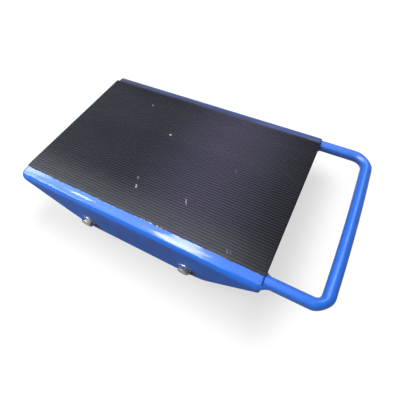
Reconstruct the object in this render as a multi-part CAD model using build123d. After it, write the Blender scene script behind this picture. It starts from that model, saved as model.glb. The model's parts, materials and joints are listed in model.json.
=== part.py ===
from build123d import *
import math
import os

# Four-roller machine skate, in millimetres, +Z up, standing on the floor at Z = 0.
# X runs along the deck towards the handle, Y across it. The origin is on the floor,
# in the middle of the overall length, handle included.

# Axles and the ball bearings on them
axle_diameter = 20.0
wheelbase = 136.0
bearing_outer_diameter = 47.0
bearing_width = 14.0
ball_diameter = 7.938
ball_count = 8
race_clearance = 0.08
ring_shoulder_offset = 2.35
shield_thickness = 0.5
shield_inset = 0.8
shield_gap = 0.3
shield_lip = 1.6
cage_width = 10.0
cage_wall = 1.7
cage_pocket_clearance = 0.13

# Rollers: a turned steel core with a cast tyre round it
roller_width = 80.0
core_wall = 6.5
core_shoulder = 3.0
core_chamfer = 1.0
tyre_thickness = 7.5
tyre_setback = 2.0
tyre_edge_radius = 3.0
retainer_thickness = 1.75
retainer_land = 2.5
retainer_groove_depth = 1.25
retainer_depth = 4.5
retainer_opening = 11.0

# What keeps the rollers apart on their axle
spacer_wall = 3.5
centre_gap = 9.0
side_gap = 12.0

# Deck: one plate bent down along both sides
deck_length = 300.0
plate_thickness = 6.0
bend_inner_radius = 3.0
roller_deck_gap = 3.5
axle_edge_distance = 20.0
level_margin = 19.0
lower_corner_radius = 32.0
end_flange = 3.0
end_corner_radius = 4.0
plate_edge_radius = 2.0

# Ribbed rubber pad glued on the deck
pad_margin = 13.5
pad_base_thickness = 2.0
rib_height = 1.0
rib_pitch = 3.15
rib_top_width = 1.55
rib_root_width = 2.25

# Handle: a round bar bent to a U and welded to the end of the deck
handle_bar_diameter = 12.0
handle_reach = 56.5
handle_inset = 11.0
handle_drop = 4.5
handle_bend_radius = 12.0
weld_leg_on_plate = 2.5
weld_leg_on_bar = 5.0
weld_crown = 0.3

# Hex bolts with thin lock washers, screwed into the tapped ends of the axles
bolt_diameter = 8.0
bolt_length = 25.0
bolt_across_flats = 13.0
bolt_head_height = 5.3
bolt_hole_clearance = 1.0
tapped_depth_beyond_bolt = 4.0
washer_thickness = 0.8
washer_wall = 3.3
washer_bore_clearance = 0.4

# Radii about the axle
axle_radius = axle_diameter / 2
bearing_radius = bearing_outer_diameter / 2
pitch_radius = (axle_radius + bearing_radius) / 2
ball_radius = ball_diameter / 2
race_radius = ball_radius + race_clearance
inner_shoulder_radius = pitch_radius - ring_shoulder_offset
outer_shoulder_radius = pitch_radius + ring_shoulder_offset
shield_radius = outer_shoulder_radius + shield_lip
spacer_radius = axle_radius + spacer_wall
core_radius = bearing_radius + core_wall
roller_radius = core_radius + tyre_thickness

# Places along the axle, from the middle of the deck outwards
roller_centre = centre_gap / 2 + roller_width / 2
bearing_offset = roller_width / 2 - retainer_land - retainer_thickness - bearing_width / 2
retainer_offset = roller_width / 2 - retainer_land - retainer_thickness / 2
side_plate_inside = centre_gap / 2 + roller_width + side_gap
side_plate_outside = side_plate_inside + plate_thickness
deck_width = 2 * side_plate_outside

# Heights above the floor
axle_height = roller_radius
deck_underside = axle_height + roller_radius + roller_deck_gap
deck_top = deck_underside + plate_thickness
side_bottom = axle_height - axle_edge_distance
bend_outer_radius = bend_inner_radius + plate_thickness
end_bottom = deck_top - bend_outer_radius - end_flange
handle_height = deck_top - handle_drop

# Places along the deck, from its middle
deck_end = deck_length / 2
level_end = wheelbase / 2 + level_margin
handle_bar_radius = handle_bar_diameter / 2
handle_cross_bar = deck_end + handle_reach
handle_leg = side_plate_outside - handle_inset

# The overall box runs from the plain end of the deck to the outside of the handle
overall_middle = (handle_cross_bar + handle_bar_radius - deck_end) / 2

AXLES = {"front": wheelbase / 2, "rear": -wheelbase / 2}
SIDES = {"left": 1, "right": -1}


def turned(profile):
    """Solid of revolution about Z from a closed profile of (radius, height) points."""
    outline = Polyline(*[(radius, 0, height) for radius, height in profile], close=True)
    return revolve(make_face(outline), Axis.Z)


def tube(outer_radius, inner_radius, length):
    """Plain tube about Z, centred on the origin."""
    return Cylinder(outer_radius, length) - Cylinder(inner_radius, length)


def on_axle(shape, x, y):
    """Lays a shape made about Z along the axle at x, with its middle at y."""
    return Pos(x, y, axle_height) * Rot(-90, 0, 0) * shape


def deck_plate():
    """Channel section along X, trimmed to the boat-shaped outline seen from the side."""
    depth = deck_top - side_bottom
    bottom = (Align.CENTER, Align.MIN)
    outer = Rectangle(deck_width, depth, align=bottom)
    outer = fillet(outer.vertices().group_by(Axis.Y)[-1], bend_outer_radius)
    inner = Rectangle(2 * side_plate_inside, depth - plate_thickness, align=bottom)
    inner = fillet(inner.vertices().group_by(Axis.Y)[-1], bend_inner_radius)
    section = Plane.YZ * Pos(0, side_bottom) * (outer - inner)
    channel = extrude(section, deck_end, both=True)

    outline = Polygon(
        (-deck_end, deck_top),
        (-deck_end, end_bottom),
        (-level_end, side_bottom),
        (level_end, side_bottom),
        (deck_end, end_bottom),
        (deck_end, deck_top),
        align=None,
    )
    heights = outline.vertices().group_by(Axis.Y)
    outline = fillet(heights[0], lower_corner_radius)
    ends = [v for v in outline.vertices() if abs(v.Y - end_bottom) < 1e-6]
    outline = fillet(ends, end_corner_radius)
    side_view = extrude(Plane.XZ * outline, side_plate_outside, both=True)

    plate = channel & side_view
    end_edge = plate.edges().filter_by(Axis.Y).group_by(Axis.Z)[-1]
    plate = fillet(end_edge, plate_edge_radius)
    hole_radius = (bolt_diameter + bolt_hole_clearance) / 2
    for x in AXLES.values():
        plate -= on_axle(Cylinder(hole_radius, deck_width), x, 0)
    return plate


def ribbed_pad():
    """Rubber sheet with ribs along X, drawn as one toothed section with a rib in the middle."""
    half_width = side_plate_outside - pad_margin
    side_ribs = int((half_width - rib_root_width / 2) / rib_pitch)
    base_top = deck_top + pad_base_thickness
    rib_top = base_top + rib_height
    points = [(-half_width, deck_top), (half_width, deck_top), (half_width, base_top)]
    for rib in range(side_ribs, -side_ribs - 1, -1):
        middle = rib * rib_pitch
        points += [
            (middle + rib_root_width / 2, base_top),
            (middle + rib_top_width / 2, rib_top),
            (middle - rib_top_width / 2, rib_top),
            (middle - rib_root_width / 2, base_top),
        ]
    points.append((-half_width, base_top))
    section = Plane.YZ * make_face(Polyline(*points, close=True))
    return extrude(section, deck_end, both=True)


def handle():
    """Round bar swept along a U that lies level, its two ends against the deck's end face."""
    corners = [
        (deck_end, -handle_leg, handle_height),
        (handle_cross_bar, -handle_leg, handle_height),
        (handle_cross_bar, handle_leg, handle_height),
        (deck_end, handle_leg, handle_height),
    ]
    path = FilletPolyline(*corners, radius=handle_bend_radius)
    start = Plane(origin=corners[0], z_dir=(1, 0, 0))
    return sweep(start * Circle(handle_bar_radius), path=path)


def handle_weld(side):
    """Crowned fillet weld round one end of the bar, only as high as the plate's end is flat."""
    toe_on_plate = (handle_bar_radius + weld_leg_on_plate, 0, 0)
    toe_on_bar = (handle_bar_radius, 0, weld_leg_on_bar)
    crest_radius = handle_bar_radius + weld_leg_on_plate / 2 + weld_crown
    crest = (crest_radius, 0, weld_leg_on_bar / 2 + weld_crown)
    crown = ThreePointArc(toe_on_plate, crest, toe_on_bar)
    root = Polyline(toe_on_bar, (handle_bar_radius, 0, 0), toe_on_plate)
    bead = revolve(make_face([crown, root]), Axis.Z)
    bead = Pos(deck_end, side * handle_leg, handle_height) * Rot(0, 90, 0) * bead
    flat_top = deck_top - plate_edge_radius
    below_rounding = Box(
        4 * weld_leg_on_bar, 2 * deck_width, flat_top, align=(Align.CENTER, Align.CENTER, Align.MIN)
    )
    return bead & (Pos(deck_end, 0, 0) * below_rounding)


def axle():
    """Bar that fits between the side plates, tapped at both ends for the bolts."""
    grip = washer_thickness + plate_thickness
    tapped_depth = bolt_length - grip + tapped_depth_beyond_bolt
    bar = Cylinder(axle_radius, 2 * side_plate_inside)
    hole = Cylinder(bolt_diameter / 2, tapped_depth)
    for end in SIDES.values():
        bar -= Pos(0, 0, end * (side_plate_inside - tapped_depth / 2)) * hole
    return bar


def bolt():
    """Hex bolt about Z: bearing face of the head at Z = 0, head above it, shank below."""
    corner_radius = bolt_across_flats / math.sqrt(3)
    flat_radius = bolt_across_flats / 2
    chamfer_height = (corner_radius - flat_radius) * 2 * math.tan(math.radians(30))
    hexagon = RegularPolygon(flat_radius, 6, major_radius=False)
    blank = turned([
        (0, 0),
        (corner_radius, 0),
        (corner_radius, bolt_head_height - chamfer_height),
        (2 * flat_radius - corner_radius, bolt_head_height),
        (0, bolt_head_height),
    ])
    head = extrude(hexagon, bolt_head_height) & blank
    shank = Pos(0, 0, -bolt_length / 2) * Cylinder(bolt_diameter / 2, bolt_length)
    return head + shank


def lock_washer():
    """Thin ring about Z, resting on Z = 0."""
    bore = (bolt_diameter + washer_bore_clearance) / 2
    return Pos(0, 0, washer_thickness / 2) * tube(bore + washer_wall, bore, washer_thickness)


def at_bolts(shape, lift):
    """Four copies of a bolt piece, one at each axle end, lifted off the side plate's face."""
    copies = []
    for x in AXLES.values():
        for side in SIDES.values():
            place = Pos(x, side * (side_plate_outside + lift), axle_height)
            copies.append(place * Rot(-90 * side, 0, 0) * shape)
    return copies


def roller_core():
    """Steel sleeve with a bearing seat and a retaining-ring groove at each end."""
    end = roller_width / 2
    seat_floor = bearing_offset - bearing_width / 2
    sleeve = turned([
        (bearing_radius - core_shoulder, -end),
        (core_radius - core_chamfer, -end),
        (core_radius, -end + core_chamfer),
        (core_radius, end - core_chamfer),
        (core_radius - core_chamfer, end),
        (bearing_radius - core_shoulder, end),
    ])
    seat = Cylinder(bearing_radius, end - seat_floor)
    groove = Cylinder(bearing_radius + retainer_groove_depth, retainer_thickness)
    for way in SIDES.values():
        sleeve -= Pos(0, 0, way * (end + seat_floor) / 2) * seat
        sleeve -= Pos(0, 0, way * retainer_offset) * groove
    return sleeve


def roller_tyre():
    """Tyre cast on the core, a little narrower than it, with rounded shoulders."""
    tyre = tube(roller_radius, core_radius, roller_width - 2 * tyre_setback)
    rims = [e for e in tyre.edges().filter_by(GeomType.CIRCLE) if e.radius > core_radius + 1e-6]
    return fillet(rims, tyre_edge_radius)


def retaining_ring():
    """Internal circlip: a ring with an opening, sprung into the groove."""
    outer = bearing_radius + retainer_groove_depth
    ring = tube(outer, outer - retainer_depth, retainer_thickness)
    return ring - Pos(0, -outer, 0) * Box(retainer_opening, 2 * outer, 2 * retainer_thickness)


def race():
    """Ring-shaped space that the balls run in."""
    return Torus(pitch_radius, race_radius)


def inner_ring():
    """Bearing ring on the axle, with a ball groove outside."""
    return tube(inner_shoulder_radius, axle_radius, bearing_width) - race()


def outer_ring():
    """Bearing ring in the core, with a ball groove and a recess for a shield at each face."""
    ring = tube(bearing_radius, outer_shoulder_radius, bearing_width) - race()
    recess_depth = shield_inset + shield_thickness
    recess = Cylinder(shield_radius, recess_depth)
    for way in SIDES.values():
        ring -= Pos(0, 0, way * (bearing_width - recess_depth) / 2) * recess
    return ring


def shields():
    """Two thin steel discs that close a bearing, clear of its inner ring."""
    disc = tube(shield_radius, inner_shoulder_radius + shield_gap, shield_thickness)
    middle = bearing_width / 2 - shield_inset - shield_thickness / 2
    return [Pos(0, 0, way * middle) * disc for way in SIDES.values()]


def ball_angles():
    """Angles at which the balls and their pockets sit round the bearing."""
    return [360 / ball_count * ball for ball in range(ball_count)]


def balls():
    """One bearing's balls on their pitch circle."""
    return [Rot(0, 0, angle) * Pos(pitch_radius, 0, 0) * Sphere(ball_radius) for angle in ball_angles()]


def cage():
    """Moulded ring with a round pocket for each ball."""
    ring = tube(pitch_radius + cage_wall / 2, pitch_radius - cage_wall / 2, cage_width)
    pocket = Rot(0, 90, 0) * Cylinder(ball_radius + cage_pocket_clearance, 4 * cage_wall)
    for angle in ball_angles():
        ring -= Rot(0, 0, angle) * Pos(pitch_radius, 0, 0) * pocket
    return ring


def at_bearings(shapes, x, y):
    """Copies of some bearing pieces at both bearings of the roller at (x, y)."""
    places = [y - bearing_offset, y + bearing_offset]
    return [on_axle(shape, x, place) for place in places for shape in shapes]


def roller_nodes(name, x, y):
    """All the nodes that belong to one roller and its two bearings."""
    rings = [on_axle(retaining_ring(), x, y + way * retainer_offset) for way in SIDES.values()]
    return {
        f"{name}_tyre": [on_axle(roller_tyre(), x, y)],
        f"{name}_core": [on_axle(roller_core(), x, y)],
        f"{name}_retaining_rings": rings,
        f"{name}_outer_rings": at_bearings([outer_ring()], x, y),
        f"{name}_inner_rings": at_bearings([inner_ring()], x, y),
        f"{name}_shields": at_bearings(shields(), x, y),
        f"{name}_balls": at_bearings(balls(), x, y),
        f"{name}_cages": at_bearings([cage()], x, y),
    }


def spacer(y_from, y_to, x):
    """Tube on the axle at x, from one bearing face or plate to the next."""
    return on_axle(tube(spacer_radius, axle_radius, y_to - y_from), x, (y_from + y_to) / 2)


def spacer_nodes():
    """Spacers in the rollers, between the rollers, and between the rollers and the side plates."""
    inner_face = roller_centre - bearing_offset - bearing_width / 2
    outer_face = roller_centre + bearing_offset + bearing_width / 2
    bearing_spacers = []
    centre_spacers = []
    side_spacers = []
    for x in AXLES.values():
        centre_spacers.append(spacer(-inner_face, inner_face, x))
        for side in SIDES.values():
            ends = sorted([side * (inner_face + bearing_width), side * (outer_face - bearing_width)])
            bearing_spacers.append(spacer(*ends, x))
            ends = sorted([side * outer_face, side * side_plate_inside])
            side_spacers.append(spacer(*ends, x))
    return {
        "bearing_spacers": bearing_spacers,
        "centre_spacers": centre_spacers,
        "side_spacers": side_spacers,
    }


def all_nodes():
    """Every node by name, each a list of solids, with the deck's middle at X = 0."""
    nodes = {
        "deck_plate": [deck_plate()],
        "ribbed_pad": [ribbed_pad()],
        "handle": [handle()],
        "handle_welds": [handle_weld(side) for side in SIDES.values()],
        "axle_bolts": at_bolts(bolt(), washer_thickness),
        "lock_washers": at_bolts(lock_washer(), 0),
    }
    nodes.update(spacer_nodes())
    for axle_name, x in AXLES.items():
        nodes[f"{axle_name}_axle"] = [on_axle(axle(), x, 0)]
        for side_name, side in SIDES.items():
            nodes.update(roller_nodes(f"{axle_name}_{side_name}", x, side * roller_centre))
    return nodes


os.makedirs("parts", exist_ok=True)
for node, shapes in all_nodes().items():
    solids = [solid for shape in shapes for solid in shape.solids()]
    moved = [Pos(-overall_middle, 0, 0) * solid for solid in solids]
    export_step(Compound(children=moved) if len(moved) > 1 else moved[0], f"parts/{node}.step")
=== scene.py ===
import json

import bpy
import numpy as np
from mathutils import Matrix, Vector


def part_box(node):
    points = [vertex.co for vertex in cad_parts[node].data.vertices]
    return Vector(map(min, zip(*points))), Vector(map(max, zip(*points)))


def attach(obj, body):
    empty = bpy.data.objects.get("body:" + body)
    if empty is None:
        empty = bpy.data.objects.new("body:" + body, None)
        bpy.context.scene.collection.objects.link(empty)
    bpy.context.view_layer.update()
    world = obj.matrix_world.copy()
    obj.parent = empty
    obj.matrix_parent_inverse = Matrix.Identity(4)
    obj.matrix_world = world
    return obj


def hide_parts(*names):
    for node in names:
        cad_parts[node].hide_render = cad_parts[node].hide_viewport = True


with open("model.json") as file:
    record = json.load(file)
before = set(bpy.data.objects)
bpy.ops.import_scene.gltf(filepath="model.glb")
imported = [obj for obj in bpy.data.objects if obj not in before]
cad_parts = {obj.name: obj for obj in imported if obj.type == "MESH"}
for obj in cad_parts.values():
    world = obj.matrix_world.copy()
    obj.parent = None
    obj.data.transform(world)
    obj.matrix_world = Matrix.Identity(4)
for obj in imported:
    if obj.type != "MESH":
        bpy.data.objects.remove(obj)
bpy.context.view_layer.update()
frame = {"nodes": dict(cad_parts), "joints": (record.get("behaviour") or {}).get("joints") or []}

# Deck plate: a sheet of 6 mm steel cut boat-shaped, folded down along both sides on a press and
# sprayed with blue enamel. It carries all the rest: the pad is glued on its top, the axles are
# bolted between its sides and the handle is welded to one end.
MILLIMETRE = 0.001


def box_mm(node):
    """Lowest and highest corner of a CAD node, in millimetres."""
    return [np.array(corner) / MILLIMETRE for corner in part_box(node)]


deck_low, deck_high = box_mm("deck_plate")
deck_middle = (deck_low[0] + deck_high[0]) / 2
half_length = (deck_high[0] - deck_low[0]) / 2
half_width = deck_high[1]
deck_top = deck_high[2]
side_bottom = deck_low[2]
plate_thickness = 6.0
near_bend_radius = 9.0
far_bend_radius = 6.5
end_edge_height = 12.0
level_half_length = 87.0
lower_corner_radius = 32.0
end_corner_radius = 4.0
outer_edge_radius = 2.0
inner_edge_radius = 0.6
bolt_hole_radius = 4.5
crease_angle = 40.0
paint_wear_depth = 2.5
bolt_shadow_place = np.array([6.5, 0.0, -8.0])
spot_depth = 1000.0
bolt_shadow_half_size = (6.5, spot_depth, 13.0)
bolt_shadow_core = 0.4

spin_joints = [joint for joint in frame["joints"] if joint["name"].endswith(("left_spin", "right_spin"))]
roller_places = {
    joint["name"].removesuffix("_spin"): np.array(joint["pos_m"]) / MILLIMETRE for joint in spin_joints
}
axle_places = {name: roller_places[f"{name}_left"][0] for name in ("front", "rear")}
axle_height = roller_places["front_left"][2]


def linear(hex_colour):
    """Linear colour of an sRGB hex value: c / 12.92 up to 0.04045, else ((c + 0.055) / 1.055) ** 2.4."""
    channels = np.array([int(hex_colour[i:i + 2], 16) for i in (1, 3, 5)]) / 255
    curve = np.where(channels <= 0.04045, channels / 12.92, ((channels + 0.055) / 1.055) ** 2.4)
    return (*curve.tolist(), 1.0)


def add(tree, kind, inputs=None, output=0, **settings):
    """Adds a shader node and returns one of its outputs. An input that is given as the output of
    another node is linked, and any other value is set. A string is a colour's hex value."""
    node = tree.nodes.new("ShaderNode" + kind)
    for name, value in settings.items():
        setattr(node, name, value)
    for name, value in (inputs or {}).items():
        if isinstance(value, bpy.types.NodeSocket):
            tree.links.new(value, node.inputs[name])
        else:
            node.inputs[name].default_value = linear(value) if isinstance(value, str) else value
    return node.outputs[output] if node.outputs else None


def start_material(name):
    """Empty material with its node tree and the object's own coordinates, in metres."""
    material = bpy.data.materials.new(name)
    material.use_nodes = True
    tree = material.node_tree
    tree.nodes.clear()
    return material, tree, add(tree, "TexCoord", output="Object")


def finish_material(tree, shader_inputs):
    """Closes a material with one Principled shader."""
    shader = add(tree, "BsdfPrincipled", shader_inputs)
    add(tree, "OutputMaterial", {"Surface": shader})


def per_metre(size_mm):
    """Texture scale at which one feature of a noise is about this many millimetres wide."""
    return 1.0 / (size_mm * MILLIMETRE)


def spot(tree, coords, place, half_size, turn, core, strength):
    """How strongly a soft spot covers a surface: nothing from the rim of an ellipsoid outwards, its full
    strength within a core, a share of the ellipsoid. Place and half sizes are in millimetres, and the
    ellipsoid is turned about Z. One of its half sizes is so large that it reaches through the piece."""
    inside = add(tree, "Mapping", {"Vector": coords, "Location": np.array(place) * MILLIMETRE,
                                   "Rotation": (0, 0, turn), "Scale": np.array(half_size) * MILLIMETRE},
                 vector_type="TEXTURE")
    reach = add(tree, "VectorMath", {0: inside}, "Value", operation="LENGTH")
    return add(tree, "MapRange", {"Value": reach, "From Min": 1.0, "From Max": core, "To Max": strength})


def ring_faces(rings, around, closed):
    """Quads of a stack of rings. The last ring joins the first, or else both ends get a flat cap."""
    index = np.arange(rings * around).reshape(rings, around)
    here = index if closed else index[:-1]
    there = np.roll(index, -1, 0) if closed else index[1:]
    quads = np.stack([here, np.roll(here, -1, 1), np.roll(there, -1, 1), there], -1).reshape(-1, 4)
    return [quads] if closed else [quads, index[:1, ::-1], index[-1:]]


def add_piece(name, points, face_groups, material, body, slot, replaced=(), crease=crease_angle):
    """Makes a closed piece from points in millimetres and groups of faces that have as many corners.

    The volume inside is the sum of the tetrahedra that the faces' triangles form with the origin.
    Where it comes out negative the faces point inwards, and all of them are turned round.
    """
    points = np.asarray(points, float).reshape(-1, 3)
    volume = 0.0
    for group in face_groups:
        corners = points[group]
        for k in range(1, group.shape[1] - 1):
            cross = np.cross(corners[:, k], corners[:, k + 1])
            volume += (corners[:, 0] * cross).sum()
    outward = [group[:, ::-1] for group in face_groups] if volume < 0 else face_groups
    mesh = bpy.data.meshes.new(name)
    faces = [face for group in outward for face in group.tolist()]
    mesh.from_pydata((points * MILLIMETRE).tolist(), [], faces)
    mesh.polygons.foreach_set("use_smooth", np.ones(len(faces), bool))
    mesh.set_sharp_from_angle(angle=np.radians(crease))
    mesh.materials.append(material)
    piece = bpy.data.objects.new(name, mesh)
    bpy.context.scene.collection.objects.link(piece)
    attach(piece, body)
    if replaced:
        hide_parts(*replaced)
    return piece


def give_values(piece, name, values):
    """Keeps one number for each point of a piece, for its material to read as an attribute."""
    attribute = piece.data.attributes.new(name, "FLOAT", "POINT")
    attribute.data.foreach_set("value", np.asarray(values, np.float32).ravel())


def share_of(value, start, full):
    """Share of the way that a value has come from start to full, held between 0 and 1."""
    return np.clip((value - start) / (full - start), 0, 1)


def rounded_corner(before, corner, after, radius, steps):
    """Arc that rounds a corner: it turns about the point on the corner's bisector that lies one
    radius from both sides, from the tangent point on the first side to the one on the second."""
    before, corner, after = (np.array(point, float) for point in (before, corner, after))
    to_before = (before - corner) / np.linalg.norm(before - corner)
    to_after = (after - corner) / np.linalg.norm(after - corner)
    half_angle = np.arccos(to_before @ to_after) / 2
    bisector = (to_before + to_after) / np.linalg.norm(to_before + to_after)
    centre = corner + bisector * radius / np.sin(half_angle)
    start = corner + to_before * radius / np.tan(half_angle) - centre
    end = corner + to_after * radius / np.tan(half_angle) - centre
    turn = np.pi - 2 * half_angle
    share = np.linspace(0, 1, steps + 1)[:, None]
    return centre + (np.sin((1 - share) * turn) * start + np.sin(share * turn) * end) / np.sin(turn)


def distance_to_line(points, line):
    """Least distance from each point to a line of straight runs: a point is dropped square onto
    every run, held between the run's ends, and the shortest of the drops is kept."""
    run = np.diff(line, axis=0)
    offset = points[..., None, :] - line[:-1]
    along = np.clip((offset * run).sum(-1) / (run ** 2).sum(-1), 0, 1)
    return np.linalg.norm(offset - along[..., None] * run, axis=-1).min(-1)


def rounding(distance, radius):
    """How far a rounded edge has dropped at a distance from it: a quarter circle of this radius."""
    return radius - np.sqrt(radius ** 2 - np.clip(radius - distance, 0, radius) ** 2)


def side_outline():
    """Half of the plate's outline seen from the side, from the top of its end to the level lower edge:
    straight runs with an arc at each corner."""
    end_corner = (half_length, deck_top - end_edge_height)
    lower_corner = (level_half_length, side_bottom)
    upper_arc = rounded_corner((half_length, deck_top), end_corner, lower_corner, end_corner_radius, 7)
    lower_arc = rounded_corner(end_corner, lower_corner, (0, side_bottom), lower_corner_radius, 22)
    slope = np.linspace(upper_arc[-1], lower_arc[0], 16)[1:-1]
    return np.concatenate([[[half_length, deck_top]], upper_arc, slope, lower_arc])


def half_deck_rows(outline, bend_radius):
    """Lines along one half of the plate's outer face, from its lower edge to the middle of the top: for
    each its y and z, the way it faces in y and z, and its half length. The side follows the outline's
    points, the bend is a quarter circle and the top is flat."""
    bend_start = deck_top - bend_radius
    beside_bend = np.array([0.7, 2.5])
    under_pad = [86.0, 60.0, 30.0, 0.0]
    side_z = np.append(outline[:0:-1, 1], [bend_start - beside_bend[0], bend_start])
    side_reach = np.append(outline[:0:-1, 0], [half_length, half_length])
    turn = np.radians(np.linspace(90, 0, 19)[1:])
    bend_y = half_width - bend_radius * (1 - np.sin(turn))
    top_y = np.append(half_width - bend_radius - beside_bend, under_pad)
    y = np.concatenate([np.full(len(side_z), half_width), bend_y, top_y])
    z = np.concatenate([side_z, bend_start + bend_radius * np.cos(turn), np.full(len(top_y), deck_top)])
    face_y = np.concatenate([np.ones(len(side_z)), np.sin(turn), np.zeros(len(top_y))])
    reach = np.append(side_reach, np.full(len(turn) + len(top_y), half_length))
    return np.stack([y, z, face_y, np.sqrt(1 - face_y ** 2), reach], -1)


def deck_plate(outline):
    """Outer and inner sheet of the plate on one grid. Each line of the plate runs from end to end,
    close-set near the ends. A sheet lies as deep below the outer face as the rounding of its edge
    says for the distance to the plate's outline, and the inner sheet lies a thickness deeper."""
    near_half = half_deck_rows(outline, near_bend_radius) * [-1, 1, -1, 1, 1]
    far_half = half_deck_rows(outline, far_bend_radius)
    rows = np.concatenate([near_half, far_half[-2::-1]])
    near_end = np.array([0, 0.1, 0.35, 0.8, 1.4, 2.2, 3.2, 6.0])
    spread = np.linspace(-1, 1, 33)[1:-1]
    reach = rows[:, 4:]
    x = np.concatenate([near_end - reach, spread * (reach - near_end[-1]), reach - near_end[::-1]], 1)
    y, z, face_y, face_z = (np.repeat(rows[:, k:k + 1], x.shape[1], 1) for k in range(4))
    distance = distance_to_line(np.stack([np.abs(x), z], -1), outline)
    outer_depth = rounding(distance, outer_edge_radius)
    inner_depth = plate_thickness - rounding(distance, inner_edge_radius)
    depth = np.stack([outer_depth, inner_depth])
    sheets = np.stack(np.broadcast_arrays(x + deck_middle, y - depth * face_y, z - depth * face_z), -1)
    outer = np.arange(x.size).reshape(x.shape)
    skin = np.stack([outer[:-1, :-1], outer[1:, :-1], outer[1:, 1:], outer[:-1, 1:]], -1).reshape(-1, 4)
    lining = np.roll(skin[:, ::-1], 1, 1) + x.size
    border = np.concatenate([outer[:-1, -1], outer[-1, :0:-1], outer[:0:-1, 0], outer[0, :-1]])
    onwards = np.roll(border, -1)
    rim = np.stack([border, onwards, onwards + x.size, border + x.size], -1)
    return sheets, [skin, lining, rim]


def drill(piece, hole_radius, places, height, half_depth):
    """Cuts round holes across the plate: a long cylinder at each place is taken away from it."""
    steps = 48
    angle = np.linspace(0, 2 * np.pi, steps, endpoint=False)
    ends = np.array([-half_depth, half_depth])[:, None]
    cylinders = []
    faces = []
    for k, x in enumerate(places):
        circle_x = x + hole_radius * np.cos(angle)
        circle_z = height + hole_radius * np.sin(angle)
        cylinders.append(np.stack(np.broadcast_arrays(circle_x, ends, circle_z), -1).reshape(-1, 3))
        for group in ring_faces(2, steps, False):
            faces += (group + 2 * steps * k).tolist()
    mesh = bpy.data.meshes.new("drill")
    mesh.from_pydata((np.concatenate(cylinders) * MILLIMETRE).tolist(), [], faces)
    cutter = bpy.data.objects.new("drill", mesh)
    bpy.context.scene.collection.objects.link(cutter)
    modifier = piece.modifiers.new("bolt_holes", "BOOLEAN")
    modifier.object = cutter
    modifier.solver = "EXACT"
    drilled = bpy.data.meshes.new_from_object(piece.evaluated_get(bpy.context.evaluated_depsgraph_get()))
    piece.modifiers.clear()
    piece.data = drilled
    bpy.data.objects.remove(cutter)
    drilled.set_sharp_from_angle(angle=np.radians(crease_angle))


# Blue alkyd enamel, sprayed on steel: an even coloured skin with a glossy surface. A slight
# orange peel and the plate's own waviness make reflections waver. The 1 mm peel is drawn 4 mm
# wide to show. Paint is chipped here and there along cut edges and rubbed dull by hands on the
# handle. Dust dulls the plate's sides, and its dark grey-violet paints them darker as painted shade.
# A dark brown-grey is mixed in as painted shade on the strip beyond the pad, on the handle's flanks
# and underside and round the corners by the handle, and as a painted shadow beside each bolt. The
# welds and the rest of the handle are a little darker all over.
blue_enamel, tree, coords = start_material("blue_enamel")
peel = add(tree, "TexNoise", {"Vector": coords, "Scale": per_metre(4.0), "Detail": 2.0})
waviness = add(tree, "TexNoise", {"Vector": coords, "Scale": per_metre(30.0), "Detail": 1.0})
smudges = add(tree, "TexNoise", {"Vector": coords, "Scale": per_metre(45.0), "Detail": 5.0,
                                 "Roughness": 0.6})
chip_noise = add(tree, "TexNoise", {"Vector": coords, "Scale": per_metre(5.0), "Detail": 4.0})
nearness = add(tree, "Attribute", output="Fac", attribute_name="edge_nearness")
dust_and_side_shade = add(tree, "Attribute", output="Fac", attribute_name="dust_and_side_shade")
dirt_and_shade_place = add(tree, "Attribute", output="Fac", attribute_name="dirt_and_painted_shade")
rubbed = add(tree, "Attribute", output="Fac", attribute_name="rubbed")
chip_level = add(tree, "Math", {0: nearness, 1: 0.22, 2: chip_noise}, operation="MULTIPLY_ADD")
chips = add(tree, "MapRange", {"Value": chip_level, "From Min": 0.84, "From Max": 0.88})
tone = add(tree, "MixRGB", {"Fac": smudges, "Color1": "#1D71EC", "Color2": "#2279F1"})
# Dust dulls the sides; its dark grey-violet also paints them darker, as painted shade.
dust_and_shade_cover = add(tree, "MapRange", {"Value": smudges, "From Min": 0.35, "From Max": 0.65,
                                    "To Min": 0.25, "To Max": 0.55})
dust_and_shade_share = add(tree, "Math", {0: dust_and_side_shade, 1: dust_and_shade_cover}, operation="MULTIPLY")
dusty_and_shaded = add(tree, "MixRGB", {"Fac": dust_and_shade_share, "Color1": tone, "Color2": "#35374C"})
chipped = add(tree, "MixRGB", {"Fac": chips, "Color1": dusty_and_shaded, "Color2": "#3B3F4A"})
# A painted shadow below and right of each bolt head, where the head's shadow falls on the plate.
for axle_x in axle_places.values():
    bolt_shadow_centre = bolt_shadow_place + [axle_x, 0.0, axle_height]
    grease = spot(tree, coords, bolt_shadow_centre, bolt_shadow_half_size, 0.0, bolt_shadow_core, 1.0)
    dirt_and_shade_place = add(tree, "Math", {0: dirt_and_shade_place, 1: grease}, operation="MAXIMUM")
# The brown-grey mix is mostly painted shade, with a little plain darkening on the handle and welds.
dirt_and_shade_cover = add(tree, "MapRange", {"Value": smudges, "From Min": 0.3, "From Max": 0.7,
                                    "To Min": 0.8, "To Max": 1.0})
dirt_and_painted_shade = add(tree, "Math", {0: dirt_and_shade_place, 1: dirt_and_shade_cover}, operation="MULTIPLY")
colour = add(tree, "MixRGB", {"Fac": dirt_and_painted_shade, "Color1": chipped, "Color2": "#443C36"})
gloss = add(tree, "MapRange", {"Value": smudges, "From Min": 0.3, "From Max": 0.7,
                               "To Min": 0.08, "To Max": 0.13})
worn = add(tree, "Math", {0: rubbed, 1: 0.17, 2: gloss}, operation="MULTIPLY_ADD")
rough = add(tree, "Math", {0: dust_and_side_shade, 1: 0.75, 2: worn}, operation="MULTIPLY_ADD")
peel_bump = add(tree, "Bump", {"Height": peel, "Strength": 0.25, "Distance": 0.0001})
wave_bump = add(tree, "Bump", {"Height": waviness, "Strength": 0.5, "Distance": 0.0006,
                               "Normal": peel_bump})
finish_material(tree, {"Base Color": colour, "Roughness": rough, "IOR": 1.5, "Specular IOR Level": 0.2,
                       "Normal": wave_bump})

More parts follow.
